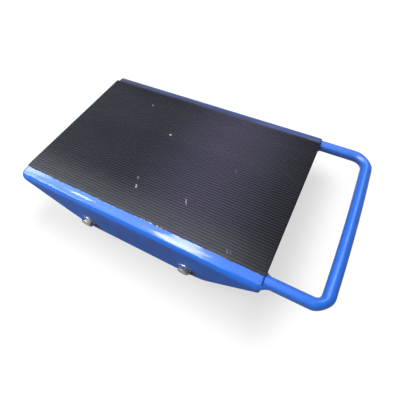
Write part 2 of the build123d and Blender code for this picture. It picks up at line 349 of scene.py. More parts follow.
edge_line = side_outline()
deck_points, deck_faces = deck_plate(edge_line)
deck = add_piece("deck_plate_painted", deck_points, deck_faces, blue_enamel, "frame", "blue_paint",
                 ["deck_plate"])
drill(deck, bolt_hole_radius, axle_places.values(), axle_height, half_width + plate_thickness)
deck_vertices = np.empty(3 * len(deck.data.vertices), np.float32)
deck.data.vertices.foreach_get("co", deck_vertices)
deck_x, deck_y, deck_z = deck_vertices.reshape(-1, 3).T / MILLIMETRE
edge_distance = distance_to_line(np.stack([np.abs(deck_x - deck_middle), deck_z], -1), edge_line)
give_values(deck, "edge_nearness", np.exp(-edge_distance / paint_wear_depth))

# Dust on the plate lies on its sides, with a smear across the middle of them, and also paints them
# darker as painted shade. Painted shade lies on the far strip, more of it beside the pad and at the
# plain end, and round the two corners by the handle.
dust_and_shade_start = 3.0
dust_and_shade_full = 7.0
smear_strength = 0.35
smear_middle = -42.0
smear_reach = 38.0
smear_start = 11.0
smear_full = 27.0
strip_shade = 0.85
strip_shade_start = 84.0
strip_shade_full = 87.0
strip_shade_depth = 7.0
pad_edge_shade = 0.5
pad_edge_shade_start = 98.0
pad_edge_shade_full = 86.0
handle_end_loss = 0.2
plain_end_run = 15.0
corner_shade = 0.75
corner_shade_start = 75.0
corner_shade_width = 1.5
corner_shade_spread = 0.35
depth = deck_top - deck_z
smear = smear_strength * np.exp(-((deck_x - smear_middle) / smear_reach) ** 2)
low_smear = smear * share_of(depth, smear_start, smear_full)
give_values(deck, "dust_and_side_shade", share_of(depth, dust_and_shade_start, dust_and_shade_full) + low_smear)
# Painted shade on the far strip, strongest beside the pad and at the plain end, less towards the handle.
on_far_strip = share_of(deck_y, strip_shade_start, strip_shade_full) * share_of(depth, strip_shade_depth, 0)
beside_pad = strip_shade + pad_edge_shade * share_of(deck_y, pad_edge_shade_start, pad_edge_shade_full)
along_strip = beside_pad * (1 - handle_end_loss * share_of(deck_x, deck_low[0], deck_high[0]))
plain_end = share_of(deck_x, deck_low[0] + plain_end_run, deck_low[0])
# Painted shade round the two corners of the plate by the handle, widening downwards.
corner_width = corner_shade_width + corner_shade_spread * np.clip(depth, 0, end_edge_height)
by_handle = np.exp((deck_x - deck_high[0]) / corner_width)
at_corners = corner_shade * by_handle * (np.abs(deck_y) > corner_shade_start)
give_values(deck, "dirt_and_painted_shade", np.maximum(on_far_strip * np.maximum(along_strip, plain_end), at_corners))

# Ribbed pad: a sheet of black synthetic rubber with fine ribs along the deck, cut to the length
# of the plate, a little askew at its plain end, and glued on. The ribs come out of a calender, so
# they run dead straight.
pad_low, pad_high = box_mm("ribbed_pad")
half_pad = pad_high[1]
rib_pitch = 3.15
rib_height = 1.0
rib_top_width = 1.55
rib_root_width = 2.25
pad_end_rounding = 0.5
rib_end_wear = 0.8
pad_end_run = 3.5
pad_end_skew = 2.0
film_and_sheen_start = -50.0
film_and_sheen_full = -89.0
sheen_band_middle = 22.0
sheen_band_reach = 95.0
darker_end_start = 70.0
darker_end_full = 115.0
scuff_core = 0.5


def ribbed_pad():
    """Section of the pad carried along X. Its top is the base height plus a rib height times a smooth
    step that falls from the edge of a rib's top to its root. At both ends the ribs are worn down by the
    square of the way that is left to the end, and the edge is rounded off. The plain end was cut askew:
    the pad is drawn in along X by a share that grows towards that end and towards the near side."""
    side_ribs = int((half_pad - rib_root_width / 2) / rib_pitch)
    y = np.linspace(-half_pad, half_pad, int(2 * half_pad / rib_pitch * 14))
    rib = np.clip(np.round(y / rib_pitch), -side_ribs, side_ribs)
    off_middle = np.abs(y - rib * rib_pitch)
    fall = share_of(off_middle, rib_root_width / 2, rib_top_width / 2)
    rib_share = np.append(fall ** 2 * (3 - 2 * fall), [0, 0])
    section_y = np.append(y, [half_pad, -half_pad])
    is_top = np.append(np.ones(len(y)), [0, 0])
    near_end = np.array([0, 0.06, 0.2, 0.5, 1.2, 2.2, pad_end_run])
    inner_x = np.linspace(pad_low[0], pad_high[0], 26)[1:-1]
    x = np.concatenate([pad_low[0] + near_end, inner_x, pad_high[0] - near_end[::-1]])
    to_end = np.minimum(x - pad_low[0], pad_high[0] - x)
    end_wear = share_of(to_end, pad_end_run, 0)[:, None] ** 2
    worn_rib = rib_height * (1 - rib_end_wear * end_wear) * rib_share
    drop = rounding(to_end, pad_end_rounding)[:, None]
    z = np.where(is_top, pad_high[2] - rib_height + worn_rib - drop, pad_low[2])
    to_plain_end = (pad_high[0] - x) / (pad_high[0] - pad_low[0])
    drawn_in = pad_end_skew * to_plain_end[:, None] * (half_pad - section_y) / (2 * half_pad)
    return np.stack(np.broadcast_arrays(x[:, None] + drawn_in, section_y, z), -1)


def add_rings(name, rings, closed, *details, **settings):
    """Makes a piece from a stack of rings of points. The details are those that add_piece takes."""
    return add_piece(name, rings, ring_faces(*rings.shape[:2], closed), *details, **settings)


# Black nitrile rubber, calendered: matt and nearly neutral, with a little dust in the grooves that
# also evens out their shade as painted light. A greyer film along the near edge is rubbed dust and a
# painted sheen, and a paler band across it is a painted sheen. The pad is darker towards the end by
# the handle. Each scuff is a pale spot: its place and half sizes in millimetres, its turn in degrees
# and how pale it is.
scuffs = [
    (-50.3, 24.8, 1.9, 1.5, 0, 0.9),
    (-43.6, -58.8, 3.2, 1.1, -60, 1.0),
    (-48.8, -47.6, 2.4, 0.9, -60, 0.45),
    (-101.0, 62.4, 2.4, 1.1, -60, 0.45),
    (46.1, 7.0, 2.1, 0.9, -60, 0.4),
    (15.8, -52.4, 5.0, 0.9, -60, 0.55),
    (77.9, -83.9, 2.8, 0.8, -65, 0.3),
    (81.2, -83.3, 2.0, 0.7, -65, 0.22),
]
black_rubber, tree, coords = start_material("black_ribbed_rubber")
along_pad, across_pad, up = (add(tree, "SeparateXYZ", {"Vector": coords}, axis) for axis in "XYZ")
on_rib = add(tree, "MapRange", {"Value": up, "From Min": (pad_high[2] - rib_height) * MILLIMETRE,
                                "From Max": pad_high[2] * MILLIMETRE})
patches = add(tree, "TexNoise", {"Vector": coords, "Scale": per_metre(60.0), "Detail": 6.0,
                                 "Roughness": 0.55})
grain = add(tree, "TexNoise", {"Vector": coords, "Scale": per_metre(1.6), "Detail": 3.0})
# Paler film along the near edge: rubbed dust and a painted sheen.
film_and_sheen = add(tree, "MapRange", {"Value": across_pad, "From Min": film_and_sheen_start * MILLIMETRE,
                              "From Max": film_and_sheen_full * MILLIMETRE, "To Max": 0.74},
           interpolation_type="SMOOTHSTEP")
# A paler purple-grey band across the pad is a painted sheen.
from_sheen_band = add(tree, "Math", {0: along_pad, 1: sheen_band_middle * MILLIMETRE}, operation="SUBTRACT")
off_sheen_band = add(tree, "Math", {0: from_sheen_band}, operation="ABSOLUTE")
painted_sheen_band = add(tree, "MapRange", {"Value": off_sheen_band, "From Min": sheen_band_reach * MILLIMETRE, "From Max": 0.0,
                              "To Max": 0.9}, interpolation_type="SMOOTHSTEP")
# Towards the end by the handle the pad is darker, where the film and the painted sheen stop.
darker_end = add(tree, "MapRange", {"Value": along_pad, "From Min": darker_end_start * MILLIMETRE,
                                   "From Max": darker_end_full * MILLIMETRE, "To Max": 0.6},
                interpolation_type="SMOOTHSTEP")
rib_tone = add(tree, "MixRGB", {"Fac": patches, "Color1": "#20222A", "Color2": "#292B33"})
# Paler grooves: dust, and painted light that evens out their shade.
groove_dust_and_light = add(tree, "MixRGB", {"Fac": on_rib, "Color1": "#27282F", "Color2": rib_tone})
sheen_band_tone = add(tree, "MixRGB", {"Fac": painted_sheen_band, "Color1": groove_dust_and_light, "Color2": "#413F52"})
film_and_sheen_colour = add(tree, "MixRGB", {"Fac": on_rib, "Color1": "#4B4D54", "Color2": "#46484E"})
film_and_sheen_tone = add(tree, "MixRGB", {"Fac": film_and_sheen, "Color1": sheen_band_tone, "Color2": film_and_sheen_colour})
tone = add(tree, "MixRGB", {"Fac": darker_end, "Color1": film_and_sheen_tone, "Color2": "#1C1D23"})
for x, y, half_long, half_short, turn, paleness in scuffs:
    half_size = (half_long, half_short, spot_depth)
    cover = spot(tree, coords, (x, y, pad_high[2]), half_size, np.radians(turn), scuff_core, paleness)
    tone = add(tree, "MixRGB", {"Fac": cover, "Color1": tone, "Color2": "#B9BCC2"})
rough = add(tree, "MapRange", {"Value": patches, "From Min": 0.3, "From Max": 0.7,
                               "To Min": 0.38, "To Max": 0.48})
grain_bump = add(tree, "Bump", {"Height": grain, "Strength": 0.35, "Distance": 0.0002})
finish_material(tree, {"Base Color": tone, "Roughness": rough, "IOR": 1.5, "Specular IOR Level": 0.04,
                       "Normal": grain_bump})

add_rings("ribbed_rubber_pad", ribbed_pad(), False, black_rubber, "frame", "pad_rubber", ["ribbed_pad"])

# Glue lines: contact adhesive that was pressed out along both long edges of the pad when it was
# rolled down. It dried to a thin uneven bead.
glue_width = 0.8
glue_height = 0.7
glue_root = 0.05
glue_under_pad = 0.4
glue_end_gap = 1.0
glue_taper = 4.0
fleck_middle = -8.0
fleck_reach = 24.0
fleck_full = 10.0


def glue_line(side):
    """Quarter ellipse carried along the pad's edge. Its width swells and shrinks by two sines of the
    way along, and it tapers off at both ends."""
    start = pad_low[0] + glue_end_gap + pad_end_skew * (side < 0)
    x = np.linspace(start, pad_high[0] - glue_end_gap, 240)
    swell = 0.75 + 0.3 * np.sin(x / 4.1) + 0.25 * np.sin(x / 10.7 + 1)
    taper = np.clip(np.minimum(x - x[0], x[-1] - x) / glue_taper, 0.05, 1)
    turn = np.linspace(0, np.pi / 2, 6)
    out = np.append(np.cos(turn), [-glue_under_pad, -glue_under_pad]) * glue_width
    up = np.append(np.sin(turn), [1.0, 0.0]) * glue_height
    scale = (swell * taper)[:, None]
    y = side * (half_pad + scale * out)
    return np.stack(np.broadcast_arrays(x[:, None], y, deck_top - glue_root + scale * up), -1)


# Dried contact adhesive: a dull grey-brown rubbery film, lumpy as it was squeezed out and paler
# where it was rubbed, with a stretch of whitish flecks beside the middle of the pad.
dried_glue, tree, coords = start_material("dried_contact_glue")
lumps = add(tree, "TexNoise", {"Vector": coords, "Scale": per_metre(9.0), "Detail": 4.0})
rubbed = add(tree, "MapRange", {"Value": lumps, "From Min": 0.5, "From Max": 0.62})
dull = add(tree, "MixRGB", {"Fac": rubbed, "Color1": "#3E382C", "Color2": "#77746A"})
along = add(tree, "SeparateXYZ", {"Vector": coords}, "X")
from_flecks = add(tree, "Math", {0: along, 1: fleck_middle * MILLIMETRE}, operation="SUBTRACT")
off_flecks = add(tree, "Math", {0: from_flecks}, operation="ABSOLUTE")
fleck_place = add(tree, "MapRange", {"Value": off_flecks, "From Min": fleck_reach * MILLIMETRE,
                                     "From Max": fleck_full * MILLIMETRE})
flecks = add(tree, "TexNoise", {"Vector": coords, "Scale": per_metre(2.5), "Detail": 2.0})
flecked = add(tree, "MapRange", {"Value": flecks, "From Min": 0.48, "From Max": 0.56})
fleck_cover = add(tree, "Math", {0: fleck_place, 1: flecked}, operation="MULTIPLY")
colour = add(tree, "MixRGB", {"Fac": fleck_cover, "Color1": dull, "Color2": "#D5D6DA"})
lump_bump = add(tree, "Bump", {"Height": lumps, "Strength": 0.6, "Distance": 0.0004})
finish_material(tree, {"Base Color": colour, "Roughness": 0.45, "IOR": 1.48, "Specular IOR Level": 0.1,
                       "Normal": lump_bump})
sides = {"left": 1, "right": -1}
for side_name, side in sides.items():
    add_rings(f"pad_glue_{side_name}", glue_line(side), False, dried_glue, "frame", "pad_rubber")

# Handle: round bar 12 mm thick, bent cold to a U, set level against the deck's end and painted
# with it. The bends are pressed a little flat and the steel inside them is gathered in ripples.
# The far bend came out wider than the near one.
handle_low, handle_high = box_mm("handle")
bar_radius = (handle_high[2] - handle_low[2]) / 2
handle_height = (handle_high[2] + handle_low[2]) / 2
leg_y = handle_high[1] - bar_radius
cross_bar_x = handle_high[0] - bar_radius
near_corner_radius = 12.0
far_corner_radius = 16.0
cross_bar_bow = 1.6
outer_flattening = 0.16
inner_flattening = 0.04
ripple_depth = 0.25
ripples_per_bend = 5
bar_dirt = 0.1
flank_shade = 0.5
flank_start = 0.85
flank_full = 0.25


def half_handle(corner_radius):
    """Middle line of half of the U, from the weld on its right leg to the middle of the cross bar: x, y
    and the share of the bend that has passed. The cross bar is bowed out by the square of the way from
    its middle."""
    turn = np.linspace(0, np.pi / 2, 31)
    bend_start = cross_bar_x - corner_radius
    leg_x = np.linspace(handle_low[0], bend_start, 14)[:-1]
    cross_y = np.linspace(corner_radius - leg_y, 0, 24)[1:]
    bend_x = bend_start + corner_radius * np.sin(turn)
    bend_y = corner_radius * (1 - np.cos(turn)) - leg_y
    x = np.concatenate([leg_x, bend_x, np.full(len(cross_y), cross_bar_x)])
    y = np.concatenate([np.full(len(leg_x), -leg_y), bend_y, cross_y])
    share = np.concatenate([np.zeros(len(leg_x)), turn / turn[-1], np.ones(len(cross_y))])
    along_leg = share_of(x, handle_low[0], bend_start)
    return np.stack([x - cross_bar_bow * along_leg * (y / leg_y) ** 2, y, share])


def handle_bar():
    """Circle carried along the U. A bend's strength is the squared sine of the share of the bend that
    has passed. It flattens the circle across the bend and sets the depth of the ripples, a cosine on
    the inner side."""
    near_half = half_handle(near_corner_radius)
    far_half = half_handle(far_corner_radius) * [[1], [-1], [1]]
    x, y, share = np.concatenate([near_half, far_half[:, -2::-1]], 1)
    heading = np.arctan2(np.gradient(y), np.gradient(x))[:, None]
    bend = (np.sin(np.pi * share) ** 2)[:, None]
    around = np.linspace(0, 2 * np.pi, 48, endpoint=False)
    inside = np.clip(-np.cos(around), 0, 1) ** 2
    ripple = 0.5 + 0.5 * np.cos(2 * np.pi * ripples_per_bend * share)[:, None]
    radius = bar_radius - ripple_depth * bend * ripple * inside
    flattening = np.where(np.cos(around) > 0, outer_flattening, inner_flattening)
    across = radius * (1 - flattening * bend) * np.cos(around)
    bar_x = x[:, None] + across * np.sin(heading)
    bar_y = y[:, None] - across * np.cos(heading)
    return np.stack([bar_x, bar_y, handle_height + radius * np.sin(around)], -1)


handle_rings = handle_bar()
handle = add_rings("bar_handle", handle_rings, False, blue_enamel, "frame", "blue_paint", ["handle"])
give_values(handle, "rubbed", np.ones(handle_rings.shape[:2]))
# The handle's flanks and underside are painted darker as painted shade; the whole bar is a little darker.
facing_up = (handle_rings[..., 2] - handle_height) / bar_radius
give_values(handle, "dirt_and_painted_shade", bar_dirt + flank_shade * share_of(facing_up, flank_start, flank_full))

# Handle welds: a fillet bead run round each end of the bar from one upper side under it to the
# other, painted over with the rest. Its overlapping pools leave ripples. The right one is fuller.
weld_leg_on_plate = 2.5
weld_leg_on_bar = 5.0
weld_hollow = 0.25
weld_root_depth = 1.2
weld_start = np.radians(25)
weld_pools = 15
pool_low = 0.94
pool_rise = 0.1
weld_lean = 0.15
weld_taper = 0.1
weld_overlap = 0.5
weld_fullness = {"left": 0.6, "right": 1.15}
weld_darkening = 0.2


def handle_weld(side, fullness):
    """Bead section carried round the bar. Its face is a straight slope from plate to bar, hollowed by
    a sine. The bead swells by a share of a rectified sine at each pool, is fuller low on its outer
    side, and tapers off at both ends."""
    share = np.linspace(0, 1, 120)[:, None]
    angle = weld_start - share * (np.pi + 2 * weld_start)
    taper = np.clip(np.minimum(share, 1 - share) / weld_taper, 0.1, 1) ** 0.5
    pool = pool_low + pool_rise * np.abs(np.sin(np.pi * weld_pools * share))
    lean = 1.05 + weld_lean * np.cos(angle + np.pi / 4)
    size = fullness * taper * pool * lean
    face = np.linspace(0, 1, 9)
    hollow = weld_hollow * np.sin(np.pi * face)
    slope_radius = bar_radius + size * (weld_leg_on_plate * (1 - face) - hollow)
    slope_along = size * (weld_leg_on_bar * face - hollow)
    inside = np.full_like(share, bar_radius - weld_overlap)
    root = np.full_like(share, -weld_root_depth)
    radius = np.concatenate([slope_radius, inside, inside, slope_radius[:, :1]], 1)
    along = np.concatenate([slope_along, slope_along[:, -1:], root, root], 1)
    y = side * (leg_y + radius * np.cos(angle))
    return np.stack([handle_low[0] + along, y, handle_height + radius * np.sin(angle)], -1)


for side_name, side in sides.items():
    bead = handle_weld(side, weld_fullness[side_name])
    weld = add_rings(f"handle_weld_{side_name}", bead, False, blue_enamel, "frame", "blue_paint",
                     ["handle_welds"])
    # The beads are painted a little darker all over.
    give_values(weld, "dirt_and_painted_shade", np.full(bead.shape[:2], weld_darkening))

# Axles: two bars of cold-drawn steel that fit between the side plates, with chamfered ends that
# are drilled and tapped for the bolts. They stand still, and the rollers' bearings sit on them.
tapped_radius = 4.0
tapped_depth = 22.2
axle_chamfer = 0.8


def turned(profile, x, y, steps=96):
    """Profile of (radius, way along) points carried round the axle's line: at an angle a point lies its
    radius times the angle's cosine from the line in X, and its radius times the sine in Z."""
    angle = np.linspace(0, 2 * np.pi, steps, endpoint=False)
    radius, along = np.asarray(profile, float).T[..., None]
    ring_x = x + radius * np.cos(angle)
    ring_z = axle_height + radius * np.sin(angle)
    return np.stack(np.broadcast_arrays(ring_x, y + along, ring_z), -1)


def both_halves(half_profile):
    """Profile that is the same at both ends: a half and its mirror image."""
    return np.concatenate([half_profile, half_profile[::-1] * [1, -1]])


# Cold-drawn bar: bright steel with fine draw marks along it. A thin brown bloom of rust and old
# oil dulls it in patches. The 0.2 mm draw marks are drawn 0.8 mm wide to show.
drawn_steel, tree, coords = start_material("cold_drawn_steel")
along_bar = add(tree, "Mapping", {"Vector": coords, "Scale": (1.0, 0.03, 1.0)})
draw_marks = add(tree, "TexNoise", {"Vector": along_bar, "Scale": per_metre(0.8), "Detail": 2.0})
bloom = add(tree, "TexNoise", {"Vector": coords, "Scale": per_metre(16.0), "Detail": 6.0,
                               "Roughness": 0.65})
bloomed = add(tree, "MapRange", {"Value": bloom, "From Min": 0.52, "From Max": 0.7, "To Max": 0.7})
bare = add(tree, "MixRGB", {"Fac": draw_marks, "Color1": "#8C8C8B", "Color2": "#B4B3B0"})
colour = add(tree, "MixRGB", {"Fac": bloomed, "Color1": bare, "Color2": "#6E5443"})
rough = add(tree, "MapRange", {"Value": bloomed, "To Min": 0.3, "To Max": 0.65})
mark_bump = add(tree, "Bump", {"Height": draw_marks, "Strength": 0.2, "Distance": 0.0001})
finish_material(tree, {"Base Color": colour, "Metallic": 1.0, "Roughness": rough, "Normal": mark_bump})

for axle_name, axle_x in axle_places.items():
    axle_low, axle_high = box_mm(f"{axle_name}_axle")
    axle_end = axle_high[1]
    axle_radius = (axle_high[2] - axle_low[2]) / 2
    half_bar = np.array([
        (tapped_radius, axle_end - tapped_depth),
        (tapped_radius, axle_end - axle_chamfer),
        (tapped_radius + axle_chamfer, axle_end),
        (axle_radius - axle_chamfer, axle_end),
        (axle_radius, axle_end - axle_chamfer),
    ])
    bar = turned(both_halves(half_bar), axle_x, 0)
    add_rings(f"{axle_name}_axle_bar", bar, False, drawn_steel, "frame", "axle_steel",
              [f"{axle_name}_axle"])

# Spacers: lengths of steel tube on the axles that keep the rollers apart, their bearings apart
# and the outer bearings off the side plates. Cut, deburred and zinc plated.
spacer_radius = 13.5
spacer_chamfer = 0.4
bearing_offset = 28.75
bearing_half_width = 7.0
roller_middle = roller_places["front_left"][1]

# Bright zinc plate: a thin blue-white passivated skin on steel, satin from the plating bath, with
# a slight cloudiness and grey-brown grime where it is not wiped. The bolt heads' outer faces, right
# sides and lower halves are painted dark, as painted shade and a painted dark reflection.
# Bath grain is drawn 1.2 mm wide.
zinc_plate, tree, coords = start_material("bright_zinc_plate")
bath_grain = add(tree, "TexNoise", {"Vector": coords, "Scale": per_metre(1.2), "Detail": 2.0})
clouds = add(tree, "TexNoise", {"Vector": coords, "Scale": per_metre(7.0), "Detail": 5.0,
                                "Roughness": 0.6})
grime = add(tree, "MapRange", {"Value": clouds, "From Min": 0.56, "From Max": 0.74, "To Max": 0.6})
painted_bolt_shade = add(tree, "Attribute", output="Fac", attribute_name="painted_bolt_shade")
plate = add(tree, "MixRGB", {"Fac": bath_grain, "Color1": "#AEB2B6", "Color2": "#CBCED0"})
grimy = add(tree, "MixRGB", {"Fac": grime, "Color1": plate, "Color2": "#53544A"})
colour = add(tree, "MixRGB", {"Fac": painted_bolt_shade, "Color1": grimy, "Color2": "#24241F"})
dulled = add(tree, "Math", {0: grime, 1: painted_bolt_shade}, operation="MAXIMUM")
rough = add(tree, "MapRange", {"Value": dulled, "To Min": 0.18, "To Max": 0.5})
grain_bump = add(tree, "Bump", {"Height": bath_grain, "Strength": 0.15, "Distance": 0.0001})
finish_material(tree, {"Base Color": colour, "Metallic": 1.0, "Roughness": rough, "Normal": grain_bump})

inner_face = roller_middle - bearing_offset - bearing_half_width
outer_face = roller_middle + bearing_offset + bearing_half_width
spacer_runs = [("centre_spacer", "centre_spacers", -inner_face, inner_face)]
between_bearings = (inner_face + 2 * bearing_half_width, outer_face - 2 * bearing_half_width)
outside_bearings = (outer_face, axle_end)
for side_name, side in sides.items():
    for kind, run in (("bearing_spacer", between_bearings), ("side_spacer", outside_bearings)):
        start, end = sorted([side * run[0], side * run[1]])
        spacer_runs.append((f"{kind}_{side_name}", f"{kind}s", start, end))
for axle_name, axle_x in axle_places.items():
    for spacer_name, node, start, end in spacer_runs:
        half_run = (end - start) / 2
        half_tube = np.array([
            (axle_radius, half_run),
            (spacer_radius - spacer_chamfer, half_run),
            (spacer_radius, half_run - spacer_chamfer),
        ])
        tube = turned(both_halves(half_tube), axle_x, (start + end) / 2)
        add_rings(f"{axle_name}_{spacer_name}", tube, True, zinc_plate, "frame", "zinc_steel", [node])

# Roller cores: sleeves turned from steel tube, with a seat for a bearing at each end, a shoulder
# behind it and a groove for its retaining ring.
core_low, core_high = box_mm("front_left_core")
core_radius = (core_high[2] - core_low[2]) / 2
core_end = (core_high[1] - core_low[1]) / 2
core_chamfer = 1.0
seat_radius = 23.5
shoulder_radius = 20.5
seat_floor = bearing_offset - bearing_half_width
groove_radius = 24.75
groove_middle = 36.625
groove_half_width = 0.875

# Turned mild steel: the tool leaves fine rings that catch the light round the axle, and a film of
# oil darkens it. The 0.25 mm feed marks are drawn 0.9 mm wide to show.
turned_steel, tree, coords = start_material("turned_steel")
from_axle = add(tree, "Attribute", output="Fac", attribute_name="radius_from_axle")
along_axle = add(tree, "SeparateXYZ", {"Vector": coords}, "Y")
tool_path = add(tree, "Math", {0: from_axle, 1: along_axle}, operation="ADD")
feed = add(tree, "TexNoise", {"W": tool_path, "Scale": per_metre(0.9), "Detail": 2.0},
           noise_dimensions="1D")
oil = add(tree, "TexNoise", {"Vector": coords, "Scale": per_metre(12.0), "Detail": 5.0})
oiled = add(tree, "MapRange", {"Value": oil, "From Min": 0.45, "From Max": 0.7, "To Max": 0.6})
bare = add(tree, "MixRGB", {"Fac": feed, "Color1": "#7F7F7F", "Color2": "#A8A7A5"})
colour = add(tree, "MixRGB", {"Fac": oiled, "Color1": bare, "Color2": "#5C5248"})
rough = add(tree, "MapRange", {"Value": feed, "To Min": 0.26, "To Max": 0.46})
feed_bump = add(tree, "Bump", {"Height": feed, "Strength": 0.35, "Distance": 0.0001})
finish_material(tree, {"Base Color": colour, "Metallic": 1.0, "Roughness": rough, "Normal": feed_bump})

half_core = np.array([
    (shoulder_radius, seat_floor),
    (seat_radius, seat_floor),
    (seat_radius, groove_middle - groove_half_width),
    (groove_radius, groove_middle - groove_half_width),
    (groove_radius, groove_middle + groove_half_width),
    (seat_radius, groove_middle + groove_half_width),
    (seat_radius, core_end),
    (core_radius - core_chamfer, core_end),
    (core_radius, core_end - core_chamfer),
])


def add_turned(roller, name, profile, material, slot, node):
    """Makes a turned piece of a roller and keeps each point's radius, in metres, for its material."""
    x, y, _ = roller_places[roller]
    rings = turned(profile, x, y)
    piece = add_rings(f"{roller}_{name}", rings, True, material, f"{roller}_roller", slot,
                      [f"{roller}_{node}"])
    give_values(piece, "radius_from_axle", np.repeat(profile[:, 0], rings.shape[1]) * MILLIMETRE)


for roller in roller_places:
    add_turned(roller, "core_sleeve", both_halves(half_core), turned_steel, "core_steel", "core")

# Tyres: polyurethane cast round the cores and turned true, a little narrower than the core, with
# rounded shoulders and slightly dished ends.
tyre_low, tyre_high = box_mm("front_left_tyre")
tyre_radius = (tyre_high[2] - tyre_low[2]) / 2
tyre_end = (tyre_high[1] - tyre_low[1]) / 2
tyre_shoulder = 3.0
tyre_dish = 0.6
mould_edge = 0.4
tread_depth = 1.2


def softened(corners, radii):
    """Closed profile with every corner rounded by its own radius. A point is set on both sides just
    off each rounding, so that the long faces stay flat to the eye."""
    corners = np.asarray(corners, float)
    parts = []
    neighbours = np.roll(corners, 1, 0), corners, np.roll(corners, -1, 0)
    for before, corner, after, radius in zip(*neighbours, radii):
        arc = rounded_corner(before, corner, after, radius, 6)
        lead = radius / 4
        lead_in = arc[0] + (before - arc[0]) * lead / np.linalg.norm(before - arc[0])
        lead_out = arc[-1] + (after - arc[-1]) * lead / np.linalg.norm(after - arc[-1])
        parts += [lead_in[None], arc, lead_out[None]]
    return np.concatenate(parts)


# Cast polyurethane: a tough amber-brown rubber that lets a little light in. Rolling over floors
# greys the tread in scuffs and in rings right round it, and the ends stay cleaner.
cast_urethane, tree, coords = start_material("cast_polyurethane")
from_axle = add(tree, "Attribute", output="Fac", attribute_name="radius_from_axle")
tread = add(tree, "MapRange", {"Value": from_axle, "From Min": (tyre_radius - tread_depth) * MILLIMETRE,
                               "From Max": tyre_radius * MILLIMETRE})
cloud = add(tree, "TexNoise", {"Vector": coords, "Scale": per_metre(25.0), "Detail": 4.0})
scuffing = add(tree, "TexNoise", {"Vector": coords, "Scale": per_metre(7.0), "Detail": 6.0,
                                  "Roughness": 0.6})
scuffed = add(tree, "MapRange", {"Value": scuffing, "From Min": 0.45, "From Max": 0.75, "To Max": 0.28})
across = add(tree, "SeparateXYZ", {"Vector": coords}, "Y")
rings = add(tree, "TexNoise", {"W": across, "Scale": per_metre(8.0), "Detail": 4.0},
            noise_dimensions="1D")
ringed = add(tree, "MapRange", {"Value": rings, "From Min": 0.42, "From Max": 0.7, "To Max": 0.34})
soiling = add(tree, "Math", {0: scuffed, 1: ringed}, operation="ADD")
soiled = add(tree, "Math", {0: soiling, 1: tread}, operation="MULTIPLY")
clean = add(tree, "MixRGB", {"Fac": cloud, "Color1": "#B4641D", "Color2": "#C77C2C"})
colour = add(tree, "MixRGB", {"Fac": soiled, "Color1": clean, "Color2": "#64503E"})
rough = add(tree, "MapRange", {"Value": soiled, "To Min": 0.3, "To Max": 0.6})
scuff_bump = add(tree, "Bump", {"Height": scuffing, "Strength": 0.25, "Distance": 0.0002})
finish_material(tree, {"Base Color": colour, "Roughness": rough, "IOR": 1.5, "Subsurface Weight": 0.12,
                       "Subsurface Radius": (0.004, 0.002, 0.001), "Normal": scuff_bump})

tyre_corners = [
    (core_radius, -tyre_end + tyre_dish),
    (tyre_radius, -tyre_end),
    (tyre_radius, tyre_end),
    (core_radius, tyre_end - tyre_dish),
]
tyre_profile = softened(tyre_corners, [mould_edge, tyre_shoulder, tyre_shoulder, mould_edge])
for roller in roller_places:
    add_turned(roller, "tyre_cast", tyre_profile, cast_urethane, "polyurethane", "tyre")

# Ball bearings: two in each roller, pressed into the core. Outer and inner rings and balls are
# hardened and ground, the shields are pressed sheet and the cages moulded nylon.
ring_edge = 0.6
land_edge = 0.3
sheet_edge = 0.1
shield_depth = 0.8
shield_sheet = 0.5
shield_lip = 1.6
shield_gap = 0.3
shield_start = bearing_half_width - shield_depth - shield_sheet
pitch_radius = 16.75
race_radius = 4.049
ring_shoulder = 2.35
inner_land = pitch_radius - ring_shoulder
outer_land = pitch_radius + ring_shoulder
lip_radius = outer_land + shield_lip

# Ground bearing steel: hard chrome steel, ground fine, so it mirrors softly, under a trace of grease.
ground_steel, tree, coords = start_material("ground_bearing_steel")
grease = add(tree, "TexNoise", {"Vector": coords, "Scale": per_metre(6.0), "Detail": 5.0})
greased = add(tree, "MapRange", {"Value": grease, "From Min": 0.45, "From Max": 0.7})
colour = add(tree, "MixRGB", {"Fac": greased, "Color1": "#C9C9CA", "Color2": "#8E8778"})
rough = add(tree, "MapRange", {"Value": greased, "To Min": 0.12, "To Max": 0.35})
finish_material(tree, {"Base Color": colour, "Metallic": 1.0, "Roughness": rough})

# Pressed shield sheet: thin cold-rolled steel with a dull grey rolled skin and faint fingerprints.
shield_sheet_steel, tree, coords = start_material("pressed_shield_sheet")
rolled = add(tree, "TexNoise", {"Vector": coords, "Scale": per_metre(2.0), "Detail": 3.0})
prints = add(tree, "TexNoise", {"Vector": coords, "Scale": per_metre(9.0), "Detail": 5.0})
colour = add(tree, "MixRGB", {"Fac": prints, "Color1": "#9A9A98", "Color2": "#B5B4B0"})
rough = add(tree, "MapRange", {"Value": rolled, "To Min": 0.3, "To Max": 0.5})
finish_material(tree, {"Base Color": colour, "Metallic": 1.0, "Roughness": rough})

# Moulded cage nylon: cream, faintly see-through plastic, satin from the mould.
cage_nylon, tree, coords = start_material("moulded_cage_nylon")
flow = add(tree, "TexNoise", {"Vector": coords, "Scale": per_metre(8.0), "Detail": 3.0})
colour = add(tree, "MixRGB", {"Fac": flow, "Color1": "#D9CFB4", "Color2": "#E6DEC8"})
finish_material(tree, {"Base Color": colour, "Roughness": 0.45, "IOR": 1.53})

